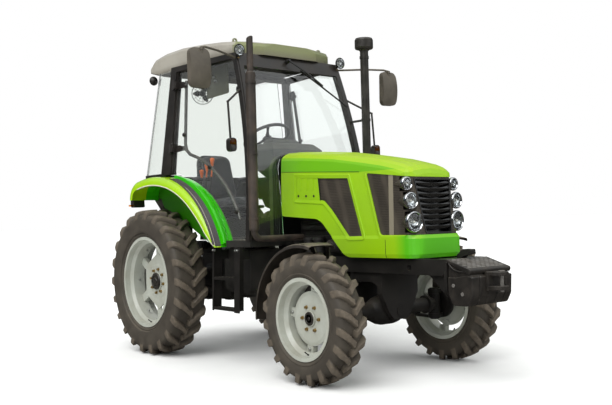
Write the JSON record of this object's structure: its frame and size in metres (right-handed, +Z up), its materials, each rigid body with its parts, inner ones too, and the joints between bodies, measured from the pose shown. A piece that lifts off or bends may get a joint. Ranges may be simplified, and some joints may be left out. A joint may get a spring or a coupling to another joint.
{
  "type": "compact farm tractor with cab",
  "caption": "Compact four-wheel-drive farm tractor with a glazed cab, louvred hood, stacked round headlamps, front weights and a rear three-point hitch.",
  "frame": {"origin": "on the ground under the middle of the overall length, on the centre plane", "axes": "+X forward, +Y to the tractor's left, +Z up"},
  "size_m": [3.8209, 2.072, 2.562],
  "materials": {
    "frame_black": "semi-gloss black paint",
    "engine_black": "satin black paint",
    "weight_black": "painted casting",
    "guard_black": "satin moulded plastic",
    "rim_grey": "pale grey gloss paint",
    "tyre": "matt rubber",
    "lime_paint": "gloss lime paint",
    "grille_black": "gloss black",
    "mesh_dark": "fine dark mesh",
    "lamp_chrome": "bright chrome",
    "cab_black": "satin black paint",
    "roof_grey": "moulded light grey",
    "floor_black": "textured black",
    "cowl_olive": "olive green paint",
    "front_glass": "blue-grey tint",
    "side_glass": "green tint",
    "tank_black": "blow-moulded black",
    "seat_cloth": "dark woven cover",
    "dash_plastic": "grained grey-green",
    "wheel_black": "soft black",
    "lever_orange": "orange knobs",
    "exhaust_steel": "heat-resistant dark paint",
    "intake_black": "gloss black",
    "mirror_black": "grained black"
  },
  "bodies": {
    "chassis": {"transmission": "frame_black", "rear_axle": "frame_black", "engine_block": "engine_black", "front_frame": "frame_black", "front_weights": "weight_black", "front_axle": "frame_black", "cab_frame": "cab_black", "cab_roof": "roof_grey", "cab_floor": "floor_black", "cowl": "cowl_olive", "windscreen": "front_glass", "rear_window": "side_glass", "rear_fenders": "lime_paint", "steps": "frame_black", "fuel_tank": "tank_black", "seat": "seat_cloth", "dashboard": "dash_plastic", "control_levers": "lever_orange", "exhaust_stack": "exhaust_steel", "intake_stack": "intake_black", "mirrors": "mirror_black", "indicators": "cab_black", "work_lamps": "lamp_chrome"},
    "tie_rod_body": {"tie_rod": "frame_black"},
    "right_rear_wheel": {"right_rear_rim": "rim_grey", "right_rear_tyre": "tyre"},
    "left_rear_wheel": {"left_rear_rim": "rim_grey", "left_rear_tyre": "tyre"},
    "right_steering": {"right_knuckle": "frame_black", "right_mudguard": "guard_black"},
    "left_steering": {"left_knuckle": "frame_black", "left_mudguard": "guard_black"},
    "right_front_wheel": {"right_front_rim": "rim_grey", "right_front_tyre": "tyre"},
    "left_front_wheel": {"left_front_rim": "rim_grey", "left_front_tyre": "tyre"},
    "hood": {"hood_shell": "lime_paint", "hood_grille": "grille_black", "hood_mesh": "mesh_dark", "headlights": "lamp_chrome"},
    "right_door": {"right_door_frame": "cab_black", "right_door_glass": "side_glass"},
    "left_door": {"left_door_frame": "cab_black", "left_door_glass": "side_glass"},
    "steering_wheel_body": {"steering_wheel": "wheel_black"},
    "lift_arms_body": {"lift_arms": "frame_black"},
    "lower_links_body": {"lower_links": "frame_black"},
    "lift_rods_body": {"lift_rods": "frame_black"},
    "top_link_body": {"top_link": "frame_black"}
  },
  "joints": [
    {"name": "right_rear_roll", "type": "hinge", "parent": "chassis", "child": "right_rear_wheel", "pos_m": [-1.13, -0.7, 0.6], "axis": [0, 1, 0], "continuous": true},
    {"name": "left_rear_roll", "type": "hinge", "parent": "chassis", "child": "left_rear_wheel", "pos_m": [-1.13, 0.7, 0.6], "axis": [0, 1, 0], "continuous": true},
    {"name": "right_steer", "type": "hinge", "parent": "chassis", "child": "right_steering", "pos_m": [0.86, -0.515, 0.434], "axis": [0, 0, 1], "range_deg": [-38, 38]},
    {"name": "left_steer", "type": "hinge", "parent": "chassis", "child": "left_steering", "pos_m": [0.86, 0.515, 0.434], "axis": [0, 0, 1], "range_deg": [-38, 38]},
    {"name": "tie_rod_swing", "type": "hinge", "parent": "right_steering", "child": "tie_rod_body", "pos_m": [0.69, -0.515, 0.36], "axis": [0, 0, 1], "range_deg": [-38, 38]},
    {"name": "right_front_roll", "type": "hinge", "parent": "right_steering", "child": "right_front_wheel", "pos_m": [0.86, -0.666, 0.434], "axis": [0, 1, 0], "continuous": true},
    {"name": "left_front_roll", "type": "hinge", "parent": "left_steering", "child": "left_front_wheel", "pos_m": [0.86, 0.666, 0.434], "axis": [0, 1, 0], "continuous": true},
    {"name": "hood_lift", "type": "hinge", "parent": "chassis", "child": "hood", "pos_m": [0.093, 0, 1.576], "axis": [0, -1, 0], "range_deg": [0, 45]},
    {"name": "right_door_swing", "type": "hinge", "parent": "chassis", "child": "right_door", "pos_m": [-0.90595, -0.67641, 1.70386], "axis": [0.0098, -0.0936, -0.9956], "range_deg": [0, 70]},
    {"name": "left_door_swing", "type": "hinge", "parent": "chassis", "child": "left_door", "pos_m": [-0.90595, 0.67641, 1.70386], "axis": [-0.0098, -0.0936, 0.9956], "range_deg": [0, 70]},
    {"name": "steering_wheel_turn", "type": "hinge", "parent": "chassis", "child": "steering_wheel_body", "pos_m": [-0.48, 0, 1.77], "axis": [-0.5, 0, 0.866], "continuous": true},
    {"name": "lift_arms_raise", "type": "hinge", "parent": "chassis", "child": "lift_arms_body", "pos_m": [-1.28, 0, 0.88], "axis": [0, 1, 0], "range_deg": [-28, 28]},
    {"name": "lower_links_raise", "type": "hinge", "parent": "chassis", "child": "lower_links_body", "pos_m": [-1.225, 0, 0.43], "axis": [0, 1, 0], "range_deg": [-24, 24]},
    {"name": "lift_rods_tilt", "type": "hinge", "parent": "lower_links_body", "child": "lift_rods_body", "pos_m": [-1.58, 0, 0.44], "axis": [0, 1, 0], "range_deg": [-24, 24]},
    {"name": "top_link_swing", "type": "hinge", "parent": "chassis", "child": "top_link_body", "pos_m": [-1.378, 0, 0.745], "axis": [0, 1, 0], "range_deg": [-20, 70]}
  ],
  "couplings": [
    {"joint": "left_steer", "follows": "right_steer", "ratio": 1},
    {"joint": "tie_rod_swing", "follows": "right_steer", "ratio": -1},
    {"joint": "lower_links_raise", "follows": "lift_arms_raise", "ratio": 0.79},
    {"joint": "lift_rods_tilt", "follows": "lift_arms_raise", "ratio": -0.81}
  ]
}
